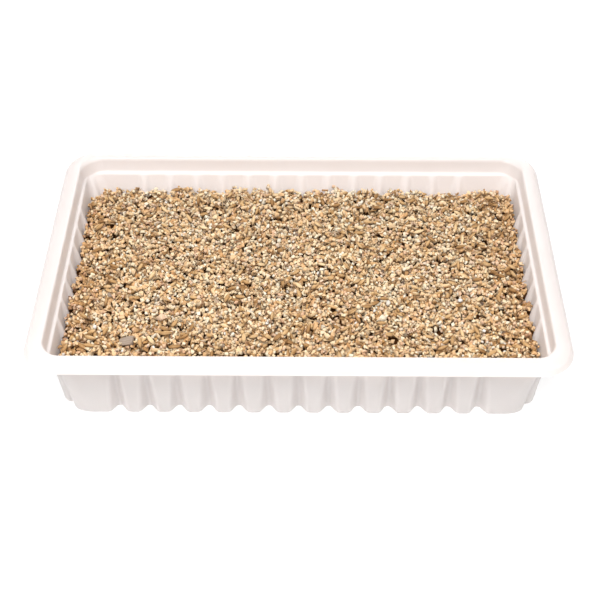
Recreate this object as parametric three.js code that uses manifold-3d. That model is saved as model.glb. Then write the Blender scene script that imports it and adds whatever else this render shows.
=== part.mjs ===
// A sown wheatgrass tray: a white thermoformed plastic tray, 265 x 180 x 44 mm, filled to
// 18 mm below its rim with crumbly vermiculite that has wheat grains strewn through it.
// Millimetres, +X along the long side, +Y to the back, +Z up, origin under the middle of the foot.
import * as THREE from 'three';
import { mergeVertices } from 'three/addons/utils/BufferGeometryUtils.js';
import Module from 'manifold-3d';

const wasm = await Module();
wasm.setup();

// Outside of the tray. Insets are measured inwards from the lip, depths down from the rim.
const LENGTH = 265;
const WIDTH = 180;
const HEIGHT = 44.4;
const LIP_RADIUS = 18;
const LIP_DROP = 4.4;
const SKIN = 0.9;

// Flange: a flat crest beside the opening, then a slope that rolls over into the skirt.
const CREST_OUTER = 5.6;
const CREST_INNER = 8.4;
const FLANGE_SLOPE = 0.8;
const SKIRT_TOP_INSET = 1.7;
const LIP_ROUND = 0.9;
const LIP_ROUND_INSIDE = 1.4;

// Lid seat: a steep wall, then a narrow ledge. It is left out in the four corners.
const SEAT_INSET = 9.1;
const SEAT_RADIUS = 11;
const SEAT_TOP_ROUND = 0.5;
const LEDGE_DEPTH = 9;
const LEDGE_OUTER = 10.1;
const LEDGE_INNER = 11.6;
const LEDGE_TILT = 0.2;
const LEDGE_ROUND = 1.6;
const POCKET_STAND_OUT = 1.35;
const POCKET_FLOOR = 16;
const POCKET_X = 109;
const POCKET_Y = 61;
const POCKET_FLANK = 2;

// Lower wall: it leans inwards by the draft, and its flutes deepen towards the foot.
const DRAFT = 0.069;
const FLUTE_PITCH = 14.9;
const FLUTES_LONG = 13;
const FLUTES_SHORT = 7;
const FLUTE_DEPTH = 5.5;
const FLUTE_GROWTH = 0.8;
const FLUTE_HALF_TOP = 2.8;
const FLUTE_HALF_FOOT = 6.2;
const CORNER_NOTCH = 3.2;
const NOTCH_SHARPNESS = 20;
const MID_DEPTH = 28;
const OUTER_DEPTHS = [LEDGE_DEPTH + SKIN + 1.3, 20, 32];
const WALL_RADIUS = 12;
const FOOT_RADIUS = 16;

// Foot: a flat ring round a raised panel.
const FOOT_EDGE = 1.3;
const FOOT_EDGE_OUTSIDE = 1.04;
const PANEL_INSET = 27;
const PANEL_RISE = 1.5;
const PANEL_FLANK = 1.6;
const PANEL_RADIUS = 14;

// Bed: vermiculite crumbs with wheat grains, held off the tray by a hair.
const BED_DEPTH = 18.2;
const BED_GAP = 0.35;
const CRUMB = 5.3;
const CRUMB_JITTER = 1.2;
const CRUMB_RISE = 2.6;
const CRUMB_DIP = 1.5;
const SWELL = 0.45;
const HEADROOM = 6;
const GRAINS = 130;
const GRAIN_SPACING = 8.5;
const GRAIN_LENGTH = 7.4;
const GRAIN_WIDTH = 3.4;
const GRAIN_THICKNESS = 3;
const GRAIN_SIDES = 5;
const GRAIN_LIFT = 1.5;
const GRAIN_LIFT_SPREAD = 0.7;
const GRAIN_TILT = 0.3;
const BED_MARGIN = 17;

const CORNER_STEPS = 6;
const HAIR = 0.001;
const QUARTER = Math.PI / 2;

// Where a flute's outline has its points: share of its half width, share of its depth.
const ROUND_FLUTE = [[-1, 0], [-0.6, 0.345], [-0.25, 0.854], [0.25, 0.854], [0.6, 0.345], [1, 0]];
const BLUNT_FLUTE = [[-1.06, 0], [-0.32, 0.93], [0.32, 0.93], [1.06, 0]];

const { clamp, lerp } = THREE.MathUtils;

function wallShare(depth) {
  return clamp((depth - LEDGE_DEPTH) / (HEIGHT - LEDGE_DEPTH), 0, 1);
}

function wallInset(depth) {
  return LEDGE_INNER + DRAFT * (depth - LEDGE_DEPTH);
}

// How far the flutes and corner notches have grown, from 0 at the ledge to 1 at the foot.
function grown(depth) {
  return wallShare(depth) ** FLUTE_GROWTH;
}

function fluteHalf(depth) {
  return lerp(FLUTE_HALF_TOP, FLUTE_HALF_FOOT, wallShare(depth));
}

function wallRadius(depth) {
  return lerp(WALL_RADIUS, FOOT_RADIUS, wallShare(depth));
}

function pocketAt(depth) {
  return POCKET_STAND_OUT * clamp((POCKET_FLOOR - depth) / (POCKET_FLOOR - LEDGE_DEPTH), 0, 1);
}

// Points along one side, as distance along it and distance out from the tray's middle.
function sidePoints(out, flutes, pocketStart, { pocket, flute, half, shape }) {
  const points = [];
  if (pocket > 0) {
    points.push([-pocketStart - POCKET_FLANK, out + pocket], [-pocketStart + POCKET_FLANK, out]);
  }
  for (let i = 0; i < flutes; i++) {
    const middle = (i - (flutes - 1) / 2) * FLUTE_PITCH;
    for (const [along, deep] of shape) {
      points.push([middle + along * half, out - deep * flute]);
    }
  }
  if (pocket > 0) {
    points.push([pocketStart - POCKET_FLANK, out], [pocketStart + POCKET_FLANK, out + pocket]);
  }
  return points;
}

// The quarter round that follows a side, with a narrow notch at its middle on the fluted wall.
// Each point comes with the place that it would have without the notch.
function cornerPoints(along, out, radius, notch) {
  const points = [];
  for (let i = 0; i <= CORNER_STEPS; i++) {
    const angle = (QUARTER * i) / CORNER_STEPS;
    const at = (r) => [along - radius + r * Math.sin(angle), out - radius + r * Math.cos(angle)];
    const notched = radius - notch * Math.sin(2 * angle) ** NOTCH_SHARPNESS;
    points.push([...at(notched), ...at(radius)]);
  }
  return points;
}

// A closed loop round the tray, anticlockwise from above, starting at the front. Each point has a
// station, which grows from 0 to 4 round the four sides and pairs points of different loops.
function ring({ inset, z, radius, pocket = 0, flute = 0, half = 0, shape = [], notch = 0 }) {
  const halfLength = LENGTH / 2 - inset;
  const halfWidth = WIDTH / 2 - inset;
  const loop = [];
  for (let side = 0; side < 4; side++) {
    const long = side % 2 === 0;
    const along = long ? halfLength : halfWidth;
    const out = long ? halfWidth : halfLength;
    const flutes = long ? FLUTES_LONG : FLUTES_SHORT;
    const pocketStart = long ? POCKET_X : POCKET_Y;
    const points = [
      ...sidePoints(out, flutes, pocketStart, { pocket, flute, half, shape }),
      ...cornerPoints(along + pocket, out + pocket, radius, notch),
    ];
    const cos = Math.round(Math.cos(side * QUARTER));
    const sin = Math.round(Math.sin(side * QUARTER));
    const reach = (long ? LENGTH : WIDTH) / 2;
    const nextReach = (long ? WIDTH : LENGTH) / 2;
    for (const [u, v, plainU = u, plainV = v] of points) {
      const point = new THREE.Vector3(u * cos + v * sin, u * sin - v * cos, z);
      const toCorner = reach - plainU;
      const pastCorner = nextReach - plainV;
      const share = toCorner < pastCorner - HAIR ? 1 + pastCorner / (2 * nextReach) : 1 - toCorner / (2 * reach);
      loop.push(Object.assign(point, { station: side + share }));
    }
  }
  return loop;
}

function plainRing(inset, depth) {
  return ring({ inset, z: HEIGHT - depth, radius: LIP_RADIUS - inset });
}

// A ring on the seat or ledge. The ledge stands out into the corner pockets, where it ends.
function seatRing(inset, depth, pocket = 0, shape = []) {
  return ring({ inset, z: HEIGHT - depth, radius: SEAT_RADIUS, pocket, half: FLUTE_HALF_TOP, shape });
}

function wallRing(depth, { offset = 0, shape = ROUND_FLUTE, z = HEIGHT - depth } = {}) {
  return ring({
    inset: wallInset(depth) + offset,
    z,
    radius: wallRadius(depth) - offset,
    pocket: pocketAt(depth),
    flute: FLUTE_DEPTH * grown(depth),
    half: fluteHalf(depth),
    shape,
    notch: CORNER_NOTCH * grown(depth),
  });
}

function panelRing(inset, z) {
  return ring({ inset, z, radius: PANEL_RADIUS });
}

// A closed skin through a run of rings, from the first ring's cap to the last ring's cap.
function loft(rings) {
  const points = rings.flat();
  const starts = [];
  let count = 0;
  for (const loop of rings) {
    starts.push(count);
    count += loop.length;
  }
  const faces = [];
  for (let k = 0; k < rings.length - 1; k++) {
    const join = rings[k][0].z === rings[k + 1][0].z ? flatBand : zip;
    faces.push(...join(rings[k], starts[k], rings[k + 1], starts[k + 1]));
  }
  for (const [loop, start, up] of [[rings[0], starts[0], true], [rings.at(-1), starts.at(-1), false]]) {
    const middle = points.length;
    points.push(new THREE.Vector3(0, 0, loop[0].z));
    for (let i = 0; i < loop.length; i++) {
      const a = start + i;
      const b = start + ((i + 1) % loop.length);
      faces.push(up ? [middle, a, b] : [middle, b, a]);
    }
  }
  return solid(points, faces);
}

// Joins two loops of any point counts, always stepping to the point with the lower station.
function zip(a, aStart, b, bStart) {
  const stationAt = (loop, i) => loop[i % loop.length].station + (i >= loop.length ? 4 : 0);
  const faces = [];
  let i = 0;
  let j = 0;
  while (i < a.length || j < b.length) {
    const stepA = j >= b.length || (i < a.length && stationAt(a, i + 1) < stationAt(b, j + 1));
    const ia = aStart + (i % a.length);
    const jb = bStart + (j % b.length);
    if (stepA) {
      faces.push([ia, jb, aStart + ((i + 1) % a.length)]);
      i += 1;
    } else {
      faces.push([ia, jb, bStart + ((j + 1) % b.length)]);
      j += 1;
    }
  }
  return faces;
}

// The level band between two loops at one height. It faces up where the second loop is the outer.
function flatBand(a, aStart, b, bStart) {
  const opensOut = b[0].y < a[0].y;
  const [outer, outerStart, inner, innerStart] = opensOut ? [b, bStart, a, aStart] : [a, aStart, b, bStart];
  const index = (i) => (i < outer.length ? outerStart + i : innerStart + i - outer.length);
  return THREE.ShapeUtils.triangulateShape([...outer], [[...inner]]).map((corners) => {
    const [i, j, k] = corners.map(index);
    return opensOut ? [i, j, k] : [i, k, j];
  });
}

function solid(points, faces) {
  const vertProperties = new Float32Array(points.flatMap((p) => [p.x, p.y, p.z]));
  const mesh = new wasm.Mesh({ numProp: 3, vertProperties, triVerts: new Uint32Array(faces.flat()) });
  return new wasm.Manifold(mesh);
}

function solidFromGeometry(geometry, matrix) {
  geometry.deleteAttribute('normal');
  geometry.deleteAttribute('uv');
  const merged = mergeVertices(geometry).applyMatrix4(matrix);
  const position = merged.getAttribute('position');
  const mesh = new wasm.Mesh({
    numProp: 3,
    vertProperties: new Float32Array(position.array),
    triVerts: new Uint32Array(merged.getIndex().array),
  });
  return new wasm.Manifold(mesh);
}

// The largest shell of a solid: loose scraps are dropped and sealed hollows are filled.
function geometryOfLargestShell(manifold) {
  const { numProp, vertProperties, triVerts } = manifold.getMesh();
  const parent = Array.from({ length: vertProperties.length / numProp }, (_, i) => i);
  const root = (i) => {
    while (parent[i] !== i) {
      parent[i] = parent[parent[i]];
      i = parent[i];
    }
    return i;
  };
  for (let t = 0; t < triVerts.length; t += 3) {
    parent[root(triVerts[t + 1])] = root(triVerts[t]);
    parent[root(triVerts[t + 2])] = root(triVerts[t]);
  }
  const shells = new Map();
  for (let t = 0; t < triVerts.length; t += 3) {
    const key = root(triVerts[t]);
    const shell = shells.get(key) ?? [];
    shell.push(triVerts[t], triVerts[t + 1], triVerts[t + 2]);
    shells.set(key, shell);
  }
  const largest = [...shells.values()].reduce((a, b) => (b.length > a.length ? b : a));
  const geometry = new THREE.BufferGeometry();
  geometry.setAttribute('position', new THREE.BufferAttribute(new Float32Array(vertProperties), 3));
  geometry.setIndex(largest);
  return geometry;
}

function makeTray() {
  const bottom = HEIGHT - SKIN;
  const floorEdge = bottom - FOOT_EDGE;
  const innerDepths = [MID_DEPTH, POCKET_FLOOR, LEDGE_DEPTH + LEDGE_ROUND];
  const topOfFloor = [
    panelRing(PANEL_INSET + PANEL_FLANK, SKIN + PANEL_RISE),
    panelRing(PANEL_INSET, SKIN),
    wallRing(floorEdge, { offset: FOOT_EDGE, shape: BLUNT_FLUTE, z: SKIN }),
    wallRing(floorEdge, { shape: BLUNT_FLUTE }),
  ];
  const inside = [
    ...innerDepths.map((depth) => wallRing(depth, { shape: BLUNT_FLUTE })),
    seatRing(LEDGE_INNER, LEDGE_DEPTH, POCKET_STAND_OUT, BLUNT_FLUTE),
    seatRing(LEDGE_OUTER, LEDGE_DEPTH - LEDGE_TILT),
    seatRing(SEAT_INSET, SEAT_TOP_ROUND),
  ];
  const flange = [
    plainRing(CREST_INNER, 0),
    plainRing(CREST_OUTER, 0),
    plainRing(SKIRT_TOP_INSET + LIP_ROUND, FLANGE_SLOPE),
    plainRing(SKIRT_TOP_INSET, FLANGE_SLOPE + LIP_ROUND),
    plainRing(0, LIP_DROP),
    plainRing(SKIN, LIP_DROP),
    plainRing(SKIRT_TOP_INSET + SKIN, FLANGE_SLOPE + LIP_ROUND_INSIDE),
    plainRing(CREST_OUTER, SKIN),
    plainRing(CREST_INNER - SKIN, SKIN),
  ];
  const outside = [
    seatRing(SEAT_INSET - SKIN, SEAT_TOP_ROUND + SKIN),
    seatRing(LEDGE_OUTER - SKIN, LEDGE_DEPTH - LEDGE_TILT + SKIN),
    seatRing(LEDGE_INNER - SKIN, LEDGE_DEPTH + SKIN, POCKET_STAND_OUT, ROUND_FLUTE),
    ...[...OUTER_DEPTHS, HEIGHT - FOOT_EDGE].map((depth) => wallRing(depth, { offset: -SKIN })),
  ];
  const foot = [
    wallRing(HEIGHT - FOOT_EDGE, { offset: FOOT_EDGE_OUTSIDE - SKIN, z: 0 }),
    panelRing(PANEL_INSET, 0),
    panelRing(PANEL_INSET + PANEL_FLANK, PANEL_RISE),
  ];
  return loft([...topOfFloor, ...inside, ...flange, ...outside, ...foot]);
}

// The space that the bed fills, from just above the floor to well above the crumbs.
function bedSpace() {
  const bottom = HEIGHT - SKIN - FOOT_EDGE;
  const fit = (depth, z) => wallRing(depth, { offset: BED_GAP, shape: BLUNT_FLUTE, z });
  const rings = [
    fit(POCKET_FLOOR, HEIGHT - POCKET_FLOOR + HEADROOM),
    fit(POCKET_FLOOR, HEIGHT - POCKET_FLOOR),
    fit(MID_DEPTH, HEIGHT - MID_DEPTH),
    fit(bottom, HEIGHT - bottom + BED_GAP),
    wallRing(bottom, { offset: FOOT_EDGE + BED_GAP, shape: BLUNT_FLUTE, z: SKIN + BED_GAP }),
    panelRing(PANEL_INSET, SKIN + BED_GAP),
    panelRing(PANEL_INSET + PANEL_FLANK, SKIN + PANEL_RISE + BED_GAP),
  ];
  return loft(rings);
}

function seededRandom(seed) {
  let state = seed;
  return () => {
    state = (state * 1664525 + 1013904223) % 4294967296;
    return state / 4294967296;
  };
}

// The bed's level, gently uneven as poured and shaken.
function bedTop(x, y) {
  const swell = Math.sin(x / 31 + 1) * Math.cos(y / 23) + Math.sin(x / 13 + y / 17);
  return HEIGHT - BED_DEPTH + SWELL * swell;
}

// A block whose top is a jittered grid of low points with an off-centre peak in every cell.
function crumblyBlock(random) {
  const columns = Math.ceil(LENGTH / CRUMB);
  const rows = Math.ceil(WIDTH / CRUMB);
  const points = [];
  const faces = [];
  const place = (i, j, jitter, lift) => {
    const x = (i - columns / 2) * CRUMB + (random() - 0.5) * 2 * jitter;
    const y = (j - rows / 2) * CRUMB + (random() - 0.5) * 2 * jitter;
    points.push(new THREE.Vector3(x, y, bedTop(x, y) + lift));
    return points.length - 1;
  };
  const low = [];
  for (let j = 0; j <= rows; j++) {
    for (let i = 0; i <= columns; i++) {
      low.push(place(i, j, CRUMB_JITTER, random() - CRUMB_DIP));
    }
  }
  const at = (i, j) => low[j * (columns + 1) + i];
  for (let j = 0; j < rows; j++) {
    for (let i = 0; i < columns; i++) {
      const peak = place(i + 0.5, j + 0.5, CRUMB_JITTER, CRUMB_RISE * random());
      const corners = [at(i, j), at(i + 1, j), at(i + 1, j + 1), at(i, j + 1)];
      corners.forEach((corner, k) => faces.push([peak, corner, corners[(k + 1) % 4]]));
    }
  }
  const edge = [];
  for (let i = 0; i < columns; i++) {
    edge.push(at(i, 0));
  }
  for (let j = 0; j < rows; j++) {
    edge.push(at(columns, j));
  }
  for (let i = columns; i > 0; i--) {
    edge.push(at(i, rows));
  }
  for (let j = rows; j > 0; j--) {
    edge.push(at(0, j));
  }
  const below = edge.map((index) => points.push(points[index].clone().setZ(-CRUMB)) - 1);
  const middle = points.push(new THREE.Vector3(0, 0, -CRUMB)) - 1;
  edge.forEach((top, k) => {
    const next = (k + 1) % edge.length;
    faces.push([top, below[k], below[next]], [top, below[next], edge[next]]);
    faces.push([middle, below[next], below[k]]);
  });
  return solid(points, faces);
}

// A wheat grain along +X: a spindle with blunt ends.
function grainShape() {
  const profile = [[0, -0.5], [0.4, -0.3], [0.46, 0.15], [0, 0.5]].map(([r, y]) => new THREE.Vector2(r, y));
  return new THREE.LatheGeometry(profile, GRAIN_SIDES).rotateZ(-QUARTER);
}

// Grains strewn over the bed by a seeded draw, lying nearly flat and sunk to about half.
function strewGrains(random) {
  const places = [];
  const grains = [];
  while (grains.length < GRAINS) {
    const x = (random() - 0.5) * (LENGTH - 2 * BED_MARGIN);
    const y = (random() - 0.5) * (WIDTH - 2 * BED_MARGIN);
    if (places.some(([px, py]) => Math.hypot(px - x, py - y) < GRAIN_SPACING)) {
      continue;
    }
    places.push([x, y]);
    const tilt = (random() - 0.5) * 2 * GRAIN_TILT;
    const turn = new THREE.Euler(0, tilt, random() * 2 * Math.PI, 'ZYX');
    const scale = new THREE.Vector3(GRAIN_LENGTH, GRAIN_WIDTH, GRAIN_THICKNESS);
    const lift = GRAIN_LIFT + GRAIN_LIFT_SPREAD * random();
    const position = new THREE.Vector3(x, y, bedTop(x, y) + lift);
    const matrix = new THREE.Matrix4().compose(position, new THREE.Quaternion().setFromEuler(turn), scale);
    grains.push(solidFromGeometry(grainShape(), matrix));
  }
  return grains;
}

function makeBed() {
  const random = seededRandom(41);
  const block = crumblyBlock(random);
  const heap = strewGrains(random).reduce((joined, grain) => joined.add(grain), block);
  return heap.intersect(bedSpace());
}

function part(name, manifold, color, roughness) {
  const material = new THREE.MeshStandardMaterial({ color, roughness, metalness: 0, flatShading: true });
  const mesh = new THREE.Mesh(geometryOfLargestShell(manifold), material);
  mesh.name = name;
  return mesh;
}

const wheatgrassTray = new THREE.Group();
wheatgrassTray.add(part('tray', makeTray(), '#f2f0ed', 0.35));
wheatgrassTray.add(part('sown_vermiculite_bed', makeBed(), '#a67c45', 0.92));

export default wheatgrassTray;
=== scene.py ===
"""The looks of a sown wheatgrass tray: a white thermoformed tray filled with vermiculite and wheat grains.

Metres, +X along the long side, +Y to the back, +Z up, origin under the middle of the tray's foot.
"""

import logging
import math
from dataclasses import dataclass, field, replace
from enum import Enum

import bmesh
import bpy
import numpy as np
from mathutils import Matrix, Vector


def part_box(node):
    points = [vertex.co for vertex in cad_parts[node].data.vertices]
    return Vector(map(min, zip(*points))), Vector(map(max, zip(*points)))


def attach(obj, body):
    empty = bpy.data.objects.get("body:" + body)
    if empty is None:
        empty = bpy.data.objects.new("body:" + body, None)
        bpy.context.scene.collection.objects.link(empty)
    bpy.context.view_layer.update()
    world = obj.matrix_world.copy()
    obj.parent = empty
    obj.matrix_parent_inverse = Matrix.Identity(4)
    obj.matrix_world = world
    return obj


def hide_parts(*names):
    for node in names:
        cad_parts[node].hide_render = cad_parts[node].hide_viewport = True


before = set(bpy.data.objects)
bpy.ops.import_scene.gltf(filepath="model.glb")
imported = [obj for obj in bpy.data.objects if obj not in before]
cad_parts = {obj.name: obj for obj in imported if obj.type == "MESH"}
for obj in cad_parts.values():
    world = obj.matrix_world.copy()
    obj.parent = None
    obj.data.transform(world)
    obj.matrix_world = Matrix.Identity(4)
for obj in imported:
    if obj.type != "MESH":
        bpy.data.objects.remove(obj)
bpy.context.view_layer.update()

MM = 0.001
SEED = 20
BODY = "root"

log = logging.getLogger("wheatgrass_tray")


def linear(red: int, green: int, blue: int) -> tuple[float, float, float, float]:
    """Turns a colour as a screen shows it into the linear values that shaders take.

    Args:
        red: Red from 0 to 255.
        green: Green from 0 to 255.
        blue: Blue from 0 to 255.

    Returns:
        The colour with an alpha of 1.
    """
    values = [channel / 255 for channel in (red, green, blue)]
    red_l, green_l, blue_l = [v / 12.92 if v < 0.04045 else ((v + 0.055) / 1.055) ** 2.4 for v in values]
    return red_l, green_l, blue_l, 1.0


class Wire:
    """A node's output socket, on which Python's operators build Math nodes."""

    def __init__(self, wiring: "Wiring", socket: bpy.types.NodeSocket) -> None:
        """Wraps a socket of a wiring's tree."""
        self.wiring = wiring
        self.socket = socket

    def maths(self, operation: str, *values: "Wire | float") -> "Wire":
        """Adds a Math node.

        Args:
            operation: Blender's name of the operation.
            values: What goes into its sockets, in order.

        Returns:
            The node's result.
        """
        sockets = dict(enumerate(values))
        return self.wiring.add("ShaderNodeMath", {"operation": operation}, sockets)

    def __add__(self, other: "Wire | float") -> "Wire":
        """Adds a value."""
        return self.maths("ADD", self, other)

    __radd__ = __add__

    def __sub__(self, other: "Wire | float") -> "Wire":
        """Takes a value away."""
        return self.maths("SUBTRACT", self, other)

    def __rsub__(self, other: float) -> "Wire":
        """Takes this away from a value."""
        return self.maths("SUBTRACT", other, self)

    def __mul__(self, other: "Wire | float") -> "Wire":
        """Multiplies by a value."""
        return self.maths("MULTIPLY", self, other)

    __rmul__ = __mul__

    def clamped(self) -> "Wire":
        """Keeps the value from 0 to 1."""
        return self.maths("MINIMUM", self.maths("MAXIMUM", self, 0.0), 1.0)


class Wiring:
    """A material's node tree, and the one way in which its nodes are added."""

    def __init__(self, name: str) -> None:
        """Starts a new material with an empty tree.

        Args:
            name: The material's name.
        """
        self.material = bpy.data.materials.new(name)
        self.material.use_nodes = True
        self.tree = self.material.node_tree
        self.tree.nodes.clear()

    def add(
        self,
        kind: str,
        settings: dict[str, object] | None = None,
        sockets: dict[str | int, object] | None = None,
        output: str | int = 0,
    ) -> Wire:
        """Adds a node.

        Args:
            kind: Blender's name of the node type.
            settings: The node's own settings, set first. "stops" gives a ramp's colours.
            sockets: Values or wires for its inputs, by name or number.
            output: The output to hand back, by name or number.

        Returns:
            The output.
        """
        node = self.tree.nodes.new(kind)
        for name, value in (settings or {}).items():
            if name == "stops":
                self.set_stops(node.color_ramp, value)
            else:
                setattr(node, name, value)
        for name, value in (sockets or {}).items():
            if isinstance(value, Wire):
                self.tree.links.new(value.socket, node.inputs[name])
            else:
                node.inputs[name].default_value = value
        return Wire(self, node.outputs[output]) if node.outputs else Wire(self, node.inputs[0])

    @staticmethod
    def set_stops(ramp: bpy.types.ColorRamp, stops: list[tuple[float, tuple]]) -> None:
        """Gives a ramp its colours.

        Args:
            ramp: The ramp.
            stops: Place and colour of each stop, in order.
        """
        while len(ramp.elements) > 1:
            ramp.elements.remove(ramp.elements[0])
        ramp.elements[0].position, ramp.elements[0].color = stops[0]
        for place, color in stops[1:]:
            ramp.elements.new(place).color = color

    def place(self) -> Wire:
        """Gives a point's place in the object's own coordinates, in metres."""
        return self.add("ShaderNodeTexCoord", output="Object")

    def noise(self, size: float, detail: float = 2.0, rough: float = 0.5) -> Wire:
        """Gives soft noise.

        Args:
            size: The width of a blotch, in metres.
            detail: Blender's detail.
            rough: Blender's roughness.

        Returns:
            Values round 0.5.
        """
        sockets = {"Vector": self.place(), "Scale": 1 / size, "Detail": detail, "Roughness": rough}
        return self.add("ShaderNodeTexNoise", {}, sockets)

    def attribute(self, name: str) -> Wire:
        """Reads a number that the mesh carries.

        Args:
            name: The attribute's name.

        Returns:
            Its value.
        """
        return self.add("ShaderNodeAttribute", {"attribute_name": name}, output="Fac")

    def ramp(self, value: Wire, stops: list[tuple[float, tuple]]) -> Wire:
        """Turns a value from 0 to 1 into a colour of a ramp.

        Args:
            value: The value.
            stops: Place and colour of each stop.

        Returns:
            The colour.
        """
        return self.add("ShaderNodeValToRGB", {"stops": stops}, {"Fac": value})

    def blend(self, share: Wire | float, first: Wire | tuple, second: Wire | tuple) -> Wire:
        """Mixes two colours.

        Args:
            share: The second colour's share.
            first: The first colour.
            second: The second colour.

        Returns:
            The mixed colour.
        """
        settings = {"data_type": "RGBA", "blend_type": "MIX"}
        return self.add("ShaderNodeMix", settings, {0: share, 6: first, 7: second}, output=2)

    def bump(self, height: Wire, distance: float, strength: float = 1.0) -> Wire:
        """Turns a height into a bent normal.

        Args:
            height: The height, about 0 to 1.
            distance: What a height of 1 stands for, in metres.
            strength: The effect's strength.

        Returns:
            The normal.
        """
        sockets = {"Height": height, "Distance": distance, "Strength": strength}
        return self.add("ShaderNodeBump", {}, sockets)

    def finish(self, **sockets: object) -> bpy.types.Material:
        """Ends the tree in a Principled surface.

        Args:
            sockets: Its inputs, with underscores for the spaces in their names.

        Returns:
            The finished material.
        """
        named = {name.replace("_", " "): value for name, value in sockets.items()}
        surface = self.add("ShaderNodeBsdfPrincipled", {}, named)
        self.add("ShaderNodeOutputMaterial", {}, {"Surface": surface})
        return self.material


@dataclass(frozen=True)
class GlossyPlastic:
    """The tray's white sheet: smooth, faintly wavy from the mould, and lets light through."""

    name: str = "white_thermoformed_sheet"
    light: tuple = linear(222, 213, 210)
    shaded: tuple = linear(219, 209, 205)
    depth: float = 2.0 * MM
    wave: float = 26 * MM
    pebble: float = 1.3 * MM

    def make(self) -> bpy.types.Material:
        """Builds the material."""
        wiring = Wiring(self.name)
        cloud = wiring.noise(self.wave, 3.0)
        grain = wiring.noise(self.pebble, 2.0)
        return wiring.finish(
            Base_Color=wiring.blend(cloud, self.shaded, self.light),
            Roughness=0.34 + 0.16 * cloud,
            Normal=wiring.bump(cloud * 0.9 + grain * 0.03, 0.5 * MM, 0.5),
            IOR=1.5,
            Subsurface_Weight=1.0,
            Subsurface_Radius=(1.0, 1.0, 1.0),
            Subsurface_Scale=self.depth,
        )


@dataclass(frozen=True)
class Granules:
    """A mineral granule's finish: its own tint out of a family of tones, flecked, with dark layer seams,
    painted shade in a book's grooves and painted shade on its lower side.
    """

    name: str
    tones: tuple[tuple[float, tuple], ...]
    seam_and_groove_shade: tuple = linear(128, 86, 48)
    shade: tuple = linear(52, 25, 7)
    fleck: float = 0.6 * MM
    mottle: float = 0.45
    layers: float = 5.0
    layer_seams: float = 0.3
    groove_shade: float = 0.75
    underside_shade: float = 0.95
    dullness: float = 0.92
    glint: float = 0.35
    sheen: float = 0.12

    def make(self) -> bpy.types.Material:
        """Builds the material."""
        wiring = Wiring(self.name)
        fleck = wiring.noise(self.fleck, 3.0, 0.6)
        tint = (wiring.attribute("tint") + self.mottle * (fleck - 0.5)).clamped()
        tone = wiring.ramp(tint, list(self.tones))
        turns = wiring.attribute("layer") * (2 * math.pi * self.layers)
        wave = 0.5 + 0.5 * turns.maths("SINE", turns)
        groove = wiring.attribute("groove")
        # dark seams between layers, and painted shade in the grooves between a book's leaves
        seams_and_groove_shade = (self.layer_seams * wave * wave + self.groove_shade * groove).clamped()
        layered = wiring.blend(seams_and_groove_shade, tone, self.seam_and_groove_shade)
        return wiring.finish(
            # painted shade: the lower side of each granule is blended towards the dark shade colour
            Base_Color=wiring.blend(self.underside_shade * wiring.attribute("under"), layered, self.shade),
            Roughness=self.dullness - self.glint * fleck,
            Specular_IOR_Level=self.sheen,
            Normal=wiring.bump(0.6 * fleck - 0.3 * wave, 0.12 * MM, 0.7),
        )


@dataclass(frozen=True)
class GrainSkin:
    """A wheat grain's or husk's finish: tan bran, streaked along, with painted shade in its crease, at its
    tips and on its lower side, and a pale germ.
    """

    name: str = "wheat_bran"
    tones: tuple[tuple[float, tuple], ...] = (
        (0.0, linear(158, 118, 74)),
        (0.4, linear(198, 158, 108)),
        (0.75, linear(224, 190, 142)),
        (1.0, linear(242, 216, 174)),
    )
    # the colour of the painted shade in the crease and at the tips
    crease: tuple = linear(112, 72, 36)
    germ: tuple = linear(236, 210, 166)
    shade: tuple = linear(70, 40, 18)
    streaked: float = 0.5
    mottle: float = 0.5
    paled: float = 0.5
    crease_shade: float = 0.7
    underside_shade: float = 0.9
    fleck: float = 0.8 * MM
    grit: float = 0.3 * MM

    def make(self) -> bpy.types.Material:
        """Builds the material."""
        wiring = Wiring(self.name)
        fleck = wiring.noise(self.fleck, 3.0, 0.6)
        grit = wiring.noise(self.grit, 2.0)
        streak = self.streaked * (wiring.attribute("streak") - 0.5)
        tint = (wiring.attribute("tint") + streak + self.mottle * (fleck - 0.5)).clamped()
        bran = wiring.ramp(tint, list(self.tones))
        ended = wiring.blend(wiring.attribute("germ") * self.paled, bran, self.germ)
        # painted shade in the crease and at the tips
        creased = wiring.blend(wiring.attribute("crease") * self.crease_shade, ended, self.crease)
        return wiring.finish(
            # painted shade: the lower side of each grain is blended towards the dark shade colour
            Base_Color=wiring.blend(self.underside_shade * wiring.attribute("under"), creased, self.shade),
            Roughness=0.55 + 0.3 * grit,
            Specular_IOR_Level=0.25,
            Normal=wiring.bump(0.6 * grit + 0.4 * fleck, 0.1 * MM, 0.7),
        )


@dataclass(frozen=True)
class PackedBed:
    """The packed bed that shows between the granules, coloured dark brown as painted shade for the deep
    gaps.
    """

    name: str = "packed_bed"
    dark: tuple = linear(72, 40, 18)
    pale: tuple = linear(112, 70, 36)
    crumb: float = 2.2 * MM
    relief: float = 1.2 * MM

    def make(self) -> bpy.types.Material:
        """Builds the material."""
        wiring = Wiring(self.name)
        crumb = wiring.noise(self.crumb, 4.0, 0.65)
        # painted shade: the core's dark browns stand for the shade deep between the granules
        color = wiring.blend(crumb, self.dark, self.pale)
        return wiring.finish(
            Base_Color=color,
            Roughness=0.8 + 0.15 * crumb,
            Specular_IOR_Level=0.1,
            Normal=wiring.bump(crumb, self.relief),
        )


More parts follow.
